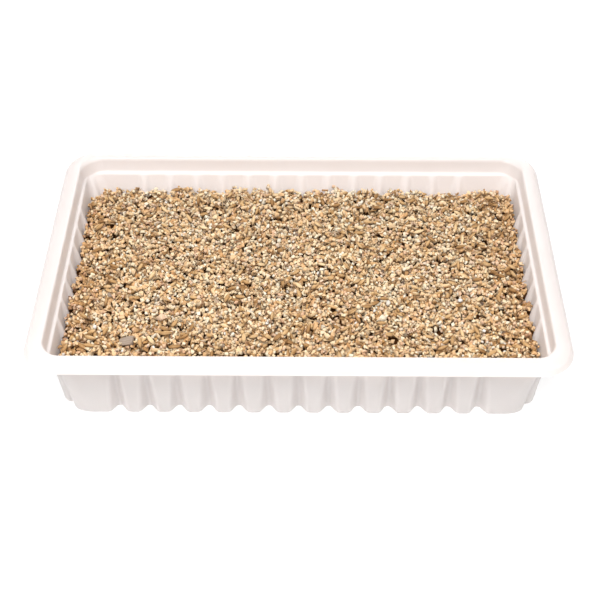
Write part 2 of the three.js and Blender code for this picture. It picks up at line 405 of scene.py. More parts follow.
@dataclass(frozen=True)
class PaleFloor:
    """The plain pale surface below the tray, lit through from below as a light table is."""

    name: str = "pale_floor"
    near: tuple = linear(152, 152, 152)
    far: tuple = linear(160, 160, 160)
    cloud: float = 0.4
    glow: float = 0.76

    def make(self) -> bpy.types.Material:
        """Builds the material."""
        wiring = Wiring(self.name)
        color = wiring.blend(wiring.noise(self.cloud), self.near, self.far)
        return wiring.finish(
            Base_Color=color,
            Roughness=0.9,
            Specular_IOR_Level=0.1,
            Emission_Color=(1.0, 1.0, 1.0, 1.0),
            Emission_Strength=self.glow,
        )


@dataclass(frozen=True)
class Row:
    """One row of the tray's sheet: a closed loop round the tray at one depth."""

    inset: float
    depth: float
    radius: float
    flute: float = 0.0
    half: float = 2.8 * MM
    notch: float = 0.0

    def towards(self, other: "Row", share: float) -> "Row":
        """Gives a row between this one and another.

        Args:
            other: The other row.
            share: The other row's share.

        Returns:
            The row between.
        """
        names = ("inset", "depth", "radius", "flute", "half", "notch")
        mixed = [getattr(self, n) * (1 - share) + getattr(other, n) * share for n in names]
        return Row(*mixed)


def smooth(value: np.ndarray) -> np.ndarray:
    """Eases a value from 0 to 1 with level ends."""
    t = np.clip(value, 0, 1)
    return t * t * (3 - 2 * t)


@dataclass(frozen=True)
class TrayOutline:
    """The tray's plan: straight sides with flutes, and round corners with a groove down their middle."""

    length: float
    width: float
    height: float
    pitch: float = 14.9 * MM
    flutes_long: int = 13
    flutes_short: int = 7
    flute_depth: float = 5.2 * MM
    flute_growth: float = 0.7
    flute_flat: float = 0.12
    half_top: float = 3.0 * MM
    half_foot: float = 5.5 * MM
    ledge_depth: float = 9 * MM
    ledge_inner: float = 11.6 * MM
    draft: float = 0.069
    wall_radius: float = 5.9 * MM
    foot_radius: float = 16 * MM
    radius_growth: float = 0.5
    notch: float = 3.2 * MM
    notch_growth: float = 0.8
    notch_sharpness: int = 20
    flute_steps: int = 16
    lead_steps: int = 3
    arc_steps: int = 30
    corner_gap: float = 1 * MM

    def wall_share(self, depth: float) -> float:
        """Says how far down the fluted wall a depth is, from 0 to 1."""
        return min(max((depth - self.ledge_depth) / (self.height - self.ledge_depth), 0.0), 1.0)

    def wall(self, depth: float) -> Row:
        """Gives the wall's row at a depth.

        Args:
            depth: The depth below the rim, in metres.

        Returns:
            The row.
        """
        share = self.wall_share(depth)
        return Row(
            inset=self.ledge_inner + self.draft * (depth - self.ledge_depth),
            depth=depth,
            radius=self.wall_radius + (self.foot_radius - self.wall_radius) * share**self.radius_growth,
            flute=self.flute_depth * share**self.flute_growth,
            half=self.half_top + (self.half_foot - self.half_top) * share,
            notch=self.notch * share**self.notch_growth,
        )

    def valley(self, along: np.ndarray, flutes: int, row: Row) -> np.ndarray:
        """Says how far the flutes push a side in.

        Args:
            along: Places along the side.
            flutes: The side's number of flutes.
            row: The row.

        Returns:
            The depth of the flutes there.
        """
        reach = flutes * self.pitch / 2
        phase = np.mod(along + reach, self.pitch) - self.pitch / 2
        flank = (np.abs(phase) / row.half - self.flute_flat) / (1 - self.flute_flat)
        return np.where(np.abs(along) <= reach, row.flute * (1 - smooth(flank)), 0.0)

    def quarter(self, row: Row, long: bool) -> np.ndarray:
        """Gives one side and the corner after it, along the side and out from the middle.

        Args:
            row: The row.
            long: Whether it is a long side.

        Returns:
            The points, one a line.
        """
        half_length = self.length / 2 - row.inset
        half_width = self.width / 2 - row.inset
        along, out = (half_length, half_width) if long else (half_width, half_length)
        flutes, next_flutes = self.flutes_long, self.flutes_short
        if not long:
            flutes, next_flutes = next_flutes, flutes
        start, end = along - row.radius, out - row.radius
        reach = self.fluted_reach(flutes, start)
        u = np.linspace(-reach, reach, flutes * self.flute_steps, endpoint=False)
        side = np.column_stack([u, out - self.valley(u, flutes, row)])
        lead = np.linspace(reach, start, self.lead_steps, endpoint=False)
        before = np.column_stack([lead, np.full(len(lead), out)])
        angle = np.linspace(0, math.pi / 2, self.arc_steps)
        r = row.radius - row.notch * np.sin(2 * angle) ** self.notch_sharpness
        arc = np.column_stack([start + r * np.sin(angle), end + r * np.cos(angle)])
        lead = np.linspace(end, self.fluted_reach(next_flutes, end), self.lead_steps + 1)[1:-1]
        after = np.column_stack([np.full(len(lead), along), lead])
        return np.vstack([side, before, arc, after])

    def fluted_reach(self, flutes: int, corner: float) -> float:
        """Says how far the fluted stretch reaches from a side's middle, short of the corner's arc."""
        return min(flutes * self.pitch / 2, corner - self.corner_gap)

    def loop(self, row: Row) -> np.ndarray:
        """Gives a row's closed loop, anticlockwise from above, starting at the front.

        Args:
            row: The row.

        Returns:
            The points in metres, one a line.
        """
        parts = []
        for turn in range(4):
            u, v = self.quarter(row, turn % 2 == 0).T
            cos, sin = round(math.cos(turn * math.pi / 2)), round(math.sin(turn * math.pi / 2))
            parts.append(np.column_stack([u * cos + v * sin, u * sin - v * cos]))
        flat = np.vstack(parts)
        return np.column_stack([flat, np.full(len(flat), self.height - row.depth)])

    def inside(self, x: np.ndarray, y: np.ndarray, row: Row, margin: np.ndarray) -> np.ndarray:
        """Says which places lie inside a row, with a margin.

        Args:
            x: Places along the tray.
            y: Places across it.
            row: The row.
            margin: The margin at each place.

        Returns:
            True where inside.
        """
        half_length = self.length / 2 - row.inset - margin
        half_width = self.width / 2 - row.inset - margin
        limit_y = half_width - self.valley(x, self.flutes_long, row)
        limit_x = half_length - self.valley(y, self.flutes_short, row)
        off_x = np.abs(x) - (half_length + margin - row.radius)
        off_y = np.abs(y) - (half_width + margin - row.radius)
        in_corner = (off_x > 0) & (off_y > 0)
        distance = np.hypot(off_x, off_y)
        slant = np.clip(2 * off_x * off_y / np.maximum(distance, MM / 1000) ** 2, 0, 1)
        round_ok = distance < row.radius - margin - row.notch * slant**self.notch_sharpness
        return (np.abs(x) < limit_x) & (np.abs(y) < limit_y) & (~in_corner | round_ok)


def deselect() -> None:
    """Leaves edit mode and clears the selection."""
    if bpy.context.object and bpy.context.object.mode != "OBJECT":
        bpy.ops.object.mode_set(mode="OBJECT")
    bpy.ops.object.select_all(action="DESELECT")


def sheet_through(loops: list[np.ndarray]) -> bpy.types.Object:
    """Models a sheet by extruding a circle's edge from loop to loop.

    Args:
        loops: The loops in order, with as many points each.

    Returns:
        The object, in edit mode, with its last loop selected.
    """
    deselect()
    bpy.ops.mesh.primitive_circle_add(vertices=len(loops[0]), radius=1)
    piece = bpy.context.object
    bpy.ops.object.mode_set(mode="EDIT")
    bpy.ops.mesh.select_mode(type="EDGE")
    bpy.ops.mesh.select_all(action="SELECT")
    current = list(range(len(loops[0])))
    for number, loop in enumerate(loops):
        if number:
            bpy.ops.mesh.extrude_edges_move()
        mesh = bmesh.from_edit_mesh(piece.data)
        mesh.verts.ensure_lookup_table()
        if number:
            current = [next_vertex(mesh.verts[index]) for index in current]
        for index, place in zip(current, loop):
            mesh.verts[index].co = place
        bmesh.update_edit_mesh(piece.data)
    return piece


def next_vertex(vertex: bmesh.types.BMVert) -> int:
    """Finds the vertex that an extrusion pulled out of this one, which is the selected one."""
    return next(e.other_vert(vertex).index for e in vertex.link_edges if e.other_vert(vertex).select)


def apply_modifiers(piece: bpy.types.Object) -> None:
    """Applies all of a piece's modifiers."""
    deselect()
    piece.select_set(True)
    bpy.context.view_layer.objects.active = piece
    for modifier in list(piece.modifiers):
        bpy.ops.object.modifier_apply(modifier=modifier.name)


@dataclass
class TrayShell:
    """The thermoformed tray: one thin sheet from its lip to its floor."""

    outline: TrayOutline
    skin: float = 0.55 * MM
    lip_radius: float = 18 * MM
    lip_drop: float = 4.4 * MM
    shoulder: tuple[float, float] = (1.7 * MM, 1.25 * MM)
    flange_outer: float = 5.6 * MM
    flange_inner: float = 8.7 * MM
    seat_top: tuple[float, float] = (9.3 * MM, 1.6 * MM)
    seat_foot: tuple[float, float] = (10.0 * MM, 8.3 * MM)
    seat_radius: float = 11 * MM
    first_row: float = 1.9 * MM
    foot_edge: float = 1.4 * MM
    panel_inset: float = 27 * MM
    panel_rise: float = 1.5 * MM
    panel_flank: float = 1.6 * MM
    panel_radius: float = 14 * MM
    wall_rows: int = 10
    round_steps: int = 4
    finish: GlossyPlastic = field(default_factory=GlossyPlastic)

    def rim(self, inset: float, depth: float) -> Row:
        """Gives a row of the plain rim."""
        return Row(inset, depth, self.lip_radius - inset)

    def seat(self, inset: float, depth: float) -> Row:
        """Gives a row of the lid's seat."""
        return Row(inset, depth, self.seat_radius)

    def corners(self) -> list[tuple[Row, float]]:
        """Gives the sheet's profile from the lip to the floor.

        Returns:
            Each row where the profile bends, and how far from it the bend begins.
        """
        line = self.outline
        foot = line.wall(line.height - self.skin)
        floor = line.height - self.skin
        top = [
            (self.rim(0, self.lip_drop), 0),
            (self.rim(*self.shoulder), 1.1 * MM),
            (self.rim(self.flange_outer, 0), 1.6 * MM),
            (self.rim(self.flange_inner, 0), 0.8 * MM),
            (self.seat(*self.seat_top), 0.6 * MM),
            (self.seat(*self.seat_foot), 0.9 * MM),
            (line.wall(line.ledge_depth), 0.9 * MM),
        ]
        first, last = line.ledge_depth + self.first_row, floor - 2.4 * self.foot_edge
        depths = np.linspace(first, last, self.wall_rows)
        wall = [(line.wall(float(depth)), 0) for depth in depths]
        raised = floor - self.panel_rise
        bottom = [
            (foot, 2 * self.foot_edge),
            (Row(self.panel_inset, floor, self.panel_radius), 1 * MM),
            (Row(self.panel_inset + self.panel_flank, raised, self.panel_radius), 1 * MM),
            (Row(self.panel_inset + 5 * self.panel_flank, raised, self.panel_radius), 0),
        ]
        return top + wall + bottom

    def rows(self) -> list[Row]:
        """Rounds the profile's bends.

        Returns:
            The rows in order.
        """
        bends = self.corners()
        rows = []
        for index, (row, reach) in enumerate(bends):
            if reach == 0:
                rows.append(row)
                continue
            before, after = bends[index - 1][0], bends[index + 1][0]
            start = row.towards(before, self.share(row, before, reach))
            end = row.towards(after, self.share(row, after, reach))
            for step in range(self.round_steps + 1):
                t = step / self.round_steps
                rows.append(start.towards(row, t).towards(row.towards(end, t), t))
        return rows

    @staticmethod
    def share(row: Row, other: Row, reach: float) -> float:
        """Says which share of the way to another row a reach is, at most nearly half."""
        span = math.hypot(other.inset - row.inset, other.depth - row.depth)
        return min(reach / span, 0.48)

    def build(self) -> bpy.types.Object:
        """Models the shell and gives it its finish.

        Returns:
            The finished piece.
        """
        piece = sheet_through([self.outline.loop(row) for row in self.rows()])
        bpy.ops.mesh.edge_face_add()
        bpy.ops.mesh.select_all(action="SELECT")
        bpy.ops.mesh.normals_make_consistent(inside=False)
        self.face_up(piece)
        bpy.ops.object.mode_set(mode="OBJECT")
        wall = piece.modifiers.new("sheet", "SOLIDIFY")
        wall.thickness = self.skin
        wall.offset = -1
        apply_modifiers(piece)
        bpy.ops.object.shade_smooth_by_angle(angle=math.radians(40))
        piece.name = piece.data.name = "thermoformed_tray_shell"
        piece.data.materials.append(self.finish.make())
        return piece

    @staticmethod
    def face_up(piece: bpy.types.Object) -> None:
        """Turns the sheet so that its floor faces up."""
        mesh = bmesh.from_edit_mesh(piece.data)
        floor = min(mesh.faces, key=lambda face: -face.calc_area())
        if floor.normal.z < 0:
            bpy.ops.mesh.flip_normals()


@dataclass
class BedCore:
    """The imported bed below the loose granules."""

    outline: TrayOutline
    top_depth: float = 22.4 * MM
    floor_depth: float = 42.4 * MM
    gap: float = 0.4 * MM
    levels: int = 6
    crown_inset: float = 3 * MM
    crown_rise: float = 0.8 * MM
    finish: PackedBed = field(default_factory=PackedBed)

    def build(self) -> bpy.types.Object:
        """Models the core and gives it its finish.

        Returns:
            The finished piece.
        """
        depths = np.linspace(self.top_depth, self.floor_depth, self.levels)
        rows = [self.outline.wall(float(depth)) for depth in depths]
        inner = [replace(row, inset=row.inset + self.gap, radius=row.radius - self.gap) for row in rows]
        loops = [self.outline.loop(row) for row in inner]
        piece = sheet_through(loops)
        bpy.ops.mesh.edge_face_add()
        mesh = bmesh.from_edit_mesh(piece.data)
        bpy.ops.mesh.select_all(action="DESELECT")
        for edge in mesh.edges:
            edge.select_set(edge.is_boundary)
        bmesh.update_edit_mesh(piece.data)
        bpy.ops.mesh.edge_face_add()
        bpy.ops.mesh.inset(thickness=self.crown_inset, depth=self.crown_rise)
        bpy.ops.mesh.select_all(action="SELECT")
        bpy.ops.mesh.normals_make_consistent(inside=False)
        bpy.ops.object.mode_set(mode="OBJECT")
        piece.name = piece.data.name = "packed_bed_core"
        piece.data.materials.append(self.finish.make())
        return piece


class Form(Enum):
    """The forms that the bed's loose pieces have."""

    CHUNK = "chunk"
    CRUMB = "crumb"
    LUMP = "lump"
    FLAKE = "flake"
    BOOK = "book"
    GRAIN = "grain"
    SLIVER = "sliver"


SMOOTH_FORMS = (Form.LUMP, Form.GRAIN, Form.SLIVER)
TUMBLED_FORMS = (Form.CHUNK, Form.CRUMB, Form.LUMP)
ROLLED_FORMS = (Form.BOOK, Form.GRAIN, Form.SLIVER)
TUMBLING = 0.6
# share of a piece's height, from its lowest point, that gets painted shade
UNDERSIDE_SHADE_REACH = 0.66
PITCH = {
    Form.CHUNK: 0.9,
    Form.CRUMB: 0.9,
    Form.LUMP: 0.9,
    Form.FLAKE: 0.35,
    Form.BOOK: 0.3,
    Form.GRAIN: 0.1,
    Form.SLIVER: 0.15,
}


@dataclass
class Shape:
    """A small piece modelled once, 1 long, 1 wide and 1 high, to be copied."""

    points: np.ndarray
    corners: np.ndarray
    sizes: np.ndarray
    uv: np.ndarray
    marks: dict[str, np.ndarray]


@dataclass
class ShapeMaker:
    """Models the small pieces by hand operations, from seeded draws. A piece is about 1 across."""

    rng: np.random.Generator
    merging: float = 0.04
    chip_spread: float = 0.16
    flake_corners: int = 5
    flake_reach: float = 0.34
    flake_spread: float = 0.14
    flake_slant: float = 0.2
    flake_arch: float = 0.35
    leaf_slide: float = 0.03
    leaf_growth: float = 0.05
    grain_fullness: float = 1.06
    grain_point: float = 0.22
    grain_waist: float = 0.08
    crease_width: float = 0.13
    crease_depth: float = 0.15
    crease_mark: float = 0.16
    tip: float = 0.38
    tip_fade: float = 0.12
    germ: float = 0.22
    germ_fade: float = 0.2
    groove: float = 0.72
    groove_fade: float = 0.2
    sliver_fullness: float = 1.05
    sliver_point: float = 0.8
    sliver_arch: float = 0.8

    def make(self, form: Form) -> Shape:
        """Models one piece of a form.

        Args:
            form: The form.

        Returns:
            The piece's shape.
        """
        deselect()
        makers = {
            Form.CHUNK: lambda: self.cut_block(7, 0.32),
            Form.CRUMB: lambda: self.cut_block(4, 0.34),
            Form.LUMP: self.lump,
            Form.FLAKE: self.flake,
            Form.BOOK: self.book,
            Form.GRAIN: self.grain,
            Form.SLIVER: self.sliver,
        }
        makers[form]()
        return self.take(bpy.context.object, form)

    def start_block(self) -> None:
        """Adds a cube and opens it for editing."""
        bpy.ops.mesh.primitive_cube_add(size=1)
        bpy.ops.object.mode_set(mode="EDIT")

    def cut_off(self, normal: Vector, reach: float, spread: float) -> None:
        """Cuts off what lies beyond a plane and closes the cut.

        Args:
            normal: The plane's direction.
            reach: The least distance of the plane from the middle.
            spread: How much further out it may lie.
        """
        place = normal * float(self.rng.uniform(reach, reach + spread))
        bpy.ops.mesh.select_all(action="SELECT")
        bpy.ops.mesh.bisect(plane_co=place, plane_no=normal, use_fill=True, clear_outer=True)

    def cut_block(self, cuts: int, reach: float) -> None:
        """Cuts a cube's corners and edges off by random planes.

        Args:
            cuts: The number of cuts.
            reach: The planes' least distance from the middle.
        """
        self.start_block()
        for _ in range(cuts):
            self.cut_off(Vector(self.rng.normal(size=3)).normalized(), reach, self.chip_spread)
        bpy.ops.mesh.select_all(action="SELECT")
        bpy.ops.mesh.remove_doubles(threshold=self.merging)

    def lump(self) -> None:
        """Rounds a cube off into a knobbly lump."""
        self.start_block()
        bpy.ops.mesh.subdivide(number_cuts=1)
        bpy.ops.transform.tosphere(value=0.7)
        bpy.ops.transform.vertex_random(offset=0.11, seed=int(self.rng.integers(1000)))

    def flake(self) -> None:
        """Cuts a plate's corners off and bends it a little."""
        self.start_block()
        for _ in range(self.flake_corners):
            angle = float(self.rng.uniform(0, 2 * math.pi))
            slant = float(self.rng.normal() * self.flake_slant)
            normal = Vector((math.cos(angle), math.sin(angle), slant)).normalized()
            self.cut_off(normal, self.flake_reach, self.flake_spread)
        bpy.ops.mesh.select_all(action="SELECT")
        bpy.ops.mesh.remove_doubles(threshold=self.merging)
        self.bend(self.flake_arch)

    def book(self) -> None:
        """Pulls a plate out leaf by leaf, with a groove between the leaves, into a small accordion."""
        leaves = int(self.rng.integers(4, 7))
        corners = int(self.rng.integers(4, 6))
        leaf = 1 / leaves
        bpy.ops.mesh.primitive_cylinder_add(vertices=corners, radius=0.5, depth=0.4 * leaf)
        bpy.ops.object.mode_set(mode="EDIT")
        bpy.ops.mesh.select_mode(type="FACE")
        bpy.ops.mesh.select_all(action="DESELECT")
        mesh = bmesh.from_edit_mesh(bpy.context.object.data)
        top = max(mesh.faces, key=lambda face: face.calc_center_median().z)
        top.select_set(True)
        bmesh.update_edit_mesh(bpy.context.object.data)
        for _ in range(leaves - 1):
            slide = float(self.rng.normal() * self.leaf_slide)
            groove = float(self.rng.uniform(0.7, 0.86))
            wider = float(self.rng.normal() * self.leaf_growth) + 1
            self.pull(0.5 * leaf, groove, slide)
            self.pull(0.5 * leaf, wider / groove, slide)
        bpy.ops.mesh.select_all(action="SELECT")
        bpy.ops.transform.rotate(value=math.pi / 2, orient_axis="Y", center_override=(0, 0, 0))
        self.bend(float(self.rng.uniform(-0.5, 0.5)))

    @staticmethod
    def pull(rise: float, scale: float, slide: float) -> None:
        """Extrudes the selected face up, slides it and scales it."""
        bpy.ops.mesh.extrude_region_move(TRANSFORM_OT_translate={"value": (slide, 0, rise)})
        bpy.ops.transform.resize(value=(scale, scale, 1))

    @staticmethod
    def bend(arch: float) -> None:
        """Arches the piece along X."""
        mesh = bmesh.from_edit_mesh(bpy.context.object.data)
        for vertex in mesh.verts:
            vertex.co.z += arch * vertex.co.x * vertex.co.x
        bmesh.update_edit_mesh(bpy.context.object.data)

    def grain(self) -> None:
        """Shapes a wheat grain along X: blunt at the brush end, pointed at the germ, creased below."""
        bpy.ops.mesh.primitive_uv_sphere_add(segments=10, ring_count=7, radius=0.5)
        bpy.ops.object.mode_set(mode="EDIT")
        bpy.ops.mesh.select_all(action="SELECT")
        bpy.ops.transform.rotate(value=math.pi / 2, orient_axis="Y", center_override=(0, 0, 0))
        mesh = bmesh.from_edit_mesh(bpy.context.object.data)
        bow = float(self.rng.uniform(0.02, 0.1))
        for vertex in mesh.verts:
            x, y, z = vertex.co
            taper = self.grain_fullness - self.grain_point * (x + 0.5) ** 2
            taper += self.grain_waist * math.cos(2 * math.pi * x)
            groove = self.crease_depth * math.exp(-((y / self.crease_width) ** 2)) if z < 0 else 0.0
            vertex.co = (x, y * taper, (z + groove) * taper - bow * (4 * x * x - 1))
        bmesh.update_edit_mesh(bpy.context.object.data)

    def sliver(self) -> None:
        """Draws out a thin, curved, pointed strip of husk along X."""
        bpy.ops.mesh.primitive_cylinder_add(vertices=4, radius=0.5, depth=1)
        bpy.ops.object.mode_set(mode="EDIT")
        bpy.ops.mesh.select_all(action="SELECT")
        bpy.ops.transform.rotate(value=math.pi / 2, orient_axis="Y", center_override=(0, 0, 0))
        for place in (-0.25, 0.0, 0.25):
            bpy.ops.mesh.select_all(action="SELECT")
            bpy.ops.mesh.bisect(plane_co=(place, 0, 0), plane_no=(1, 0, 0))
        mesh = bmesh.from_edit_mesh(bpy.context.object.data)
        curl = float(self.rng.uniform(0.4, 1.4))
        for vertex in mesh.verts:
            x, y, z = vertex.co
            slim = self.sliver_fullness - self.sliver_point * abs(2 * x) ** 2
            arched = z * slim + self.sliver_arch * (0.1 - x * x)
            vertex.co = (x, y * slim + curl * x * x, arched)
        bmesh.update_edit_mesh(bpy.context.object.data)

    def take(self, piece: bpy.types.Object, form: Form) -> Shape:
        """Reads a modelled piece as a shape and removes it.

        Args:
            piece: The piece, in edit mode.
            form: Its form.

        Returns:
            The shape, centred and scaled to 1 each way.
        """
        bpy.ops.mesh.select_all(action="SELECT")
        bpy.ops.mesh.normals_make_consistent(inside=False)
        bpy.ops.uv.smart_project(angle_limit=math.radians(66), island_margin=0.04)
        bpy.ops.object.mode_set(mode="OBJECT")
        mesh = piece.data
        points = np.array([vertex.co for vertex in mesh.vertices])
        low, high = points.min(axis=0), points.max(axis=0)
        points = (points - (low + high) / 2) / (high - low)
        corners = np.array([loop.vertex_index for loop in mesh.loops])
        sizes = np.array([polygon.loop_total for polygon in mesh.polygons])
        uv = np.array([loop.uv for loop in mesh.uv_layers.active.data])
        bpy.data.objects.remove(piece)
        return Shape(points, corners, sizes, uv, self.marks_of(points, form))

    def marks_of(self, points: np.ndarray, form: Form) -> dict[str, np.ndarray]:
        """Marks where a piece is layered, grooved, creased or streaked.

        Args:
            points: The shape's points.
            form: Its form.

        Returns:
            A value for each point, by name.
        """
        x, y, z = points.T
        if form in (Form.GRAIN, Form.SLIVER):
            side = np.mod(np.round(np.arctan2(z, y) * 5 / math.pi), 10).astype(int)
            below = np.where(z < 0, np.exp(-((y / self.crease_mark) ** 2)), 0.0)
            tips = smooth((np.abs(x) - self.tip) / self.tip_fade)
            return {
                # painted shade mask: the crease on the underside, and both tips at half strength
                "crease": np.maximum(below, 0.5 * tips),
                "germ": smooth((x - self.germ) / self.germ_fade) * (z > -0.1),
                "streak": self.rng.random(10)[side],
            }
        axis = self.rng.normal(size=3)
        across = points @ (axis / np.linalg.norm(axis))
        groove = np.zeros(len(points))
        if form is Form.BOOK:
            across = x
            width = np.hypot(y, z)
            # groove mask for the painted shade between a book's leaves
            groove = 1 - smooth((width / width.max() - self.groove) / self.groove_fade)
        return {"layer": across + 0.5, "groove": groove}


@dataclass
class Laid:
    """One copy of a shape, where it came to rest."""

    variant: int
    matrix: np.ndarray
    place: tuple[float, float, float]
    tint: float


@dataclass
class Heap:
    """Loose pieces of one kind: their shapes, finish, places and tints."""

    name: str
    form: Form
    finish: Granules | GrainSkin
    length: tuple[float, float]
    width: tuple[float, float]
    thick: tuple[float, float]
    tint: tuple[float, float] = (0.0, 1.0)
    variants: int = 6
    shapes: list[Shape] = field(default_factory=list)
    laid: list[Laid] = field(default_factory=list)

    def sizes(self) -> np.ndarray:
        """Gives the smallest and the largest size, in metres.

        Returns:
            Two rows of length, width and thickness.
        """
        return np.array([self.length, self.width, self.thick]).T * MM

    def build(self) -> bpy.types.Object:
        """Copies the shapes to their places in one mesh.

        Returns:
            The finished piece.
        """
        cells = math.ceil(math.sqrt(len(self.laid)))
        columns: dict[str, list[np.ndarray]] = {}
        start = number = 0
        for variant, shape in enumerate(self.shapes):
            own = [laid for laid in self.laid if laid.variant == variant]
            if not own:
                continue
            turned = np.einsum("nij,vj->nvi", np.array([laid.matrix for laid in own]), shape.points)
            height = turned[:, :, 2]
            lowest = height.min(axis=1, keepdims=True)
            rise = (height - lowest) / (height.max(axis=1, keepdims=True) - lowest)
            count = len(shape.points)
            firsts = start + count * np.arange(len(own))
            order = number + np.arange(len(own))
            cell = np.column_stack([order % cells, order // cells]) + 0.05
            copies = {
                "points": (turned + np.array([laid.place for laid in own])[:, None]).reshape(-1, 3),
                "corners": (shape.corners + firsts[:, None]).ravel(),
                "sizes": np.tile(shape.sizes, len(own)),
                "uv": ((shape.uv * 0.9 + cell[:, None]) / cells).reshape(-1, 2),
                "tint": np.repeat([laid.tint for laid in own], count),
                # painted shade mask: 1 at each copy's lowest point, fading out up its height
                "under": 1 - smooth(rise.ravel() / UNDERSIDE_SHADE_REACH),
            }
            for name, values in shape.marks.items():
                copies[name] = np.tile(values, len(own))
            for name, values in copies.items():
                columns.setdefault(name, []).append(values)
            start += count * len(own)
            number += len(own)
        return self.mesh_of({name: np.concatenate(values) for name, values in columns.items()})

    def mesh_of(self, columns: dict[str, np.ndarray]) -> bpy.types.Object:
        """Makes the piece's mesh and object.

        Args:
            columns: The mesh's points, corners, face sizes, texture places and marks.

        Returns:
            The object.
        """
        mesh = bpy.data.meshes.new(self.name)
        mesh.vertices.add(len(columns["points"]))
        mesh.vertices.foreach_set("co", columns["points"].ravel())
        mesh.loops.add(len(columns["corners"]))
        mesh.loops.foreach_set("vertex_index", columns["corners"])
        mesh.polygons.add(len(columns["sizes"]))
        starts = np.concatenate([[0], np.cumsum(columns["sizes"])[:-1]])
        mesh.polygons.foreach_set("loop_start", starts)
        mesh.update(calc_edges=True)
        mesh.polygons.foreach_set("use_smooth", np.full(len(starts), self.form in SMOOTH_FORMS))
        mesh.uv_layers.new(name="OFBake").data.foreach_set("uv", columns["uv"].ravel())
        for name in sorted(columns.keys() - {"points", "corners", "sizes", "uv"}):
            mesh.attributes.new(name, "FLOAT", "POINT").data.foreach_set("value", columns[name])
        mesh.materials.append(self.finish.make())
        mesh.validate()
        piece = bpy.data.objects.new(self.name, mesh)
        bpy.context.collection.objects.link(piece)
        return piece


@dataclass(frozen=True)
class Swell:
    """A rise or hollow of the bed's level, in millimetres."""

    x: float
    y: float
    reach: float
    rise: float


BED_SWELLS = (
    Swell(-119, 78, 11, -2.4),
    Swell(-110, 80, 7, -1.6),
    Swell(-88, 80, 7, -1.8),
    Swell(-66, 80, 7, 1.4),
    Swell(-50, 80, 9, -0.9),
    Swell(-34, 80, 9, 0.7),
    Swell(12, 80, 5, 0.8),
    Swell(30, 80, 12, 1.3),
    Swell(58, 80, 14, -1.3),
    Swell(82, 80, 7, -2.6),
    Swell(102, 80, 8, -1.6),
    Swell(118, 74, 9, -1.2),
)


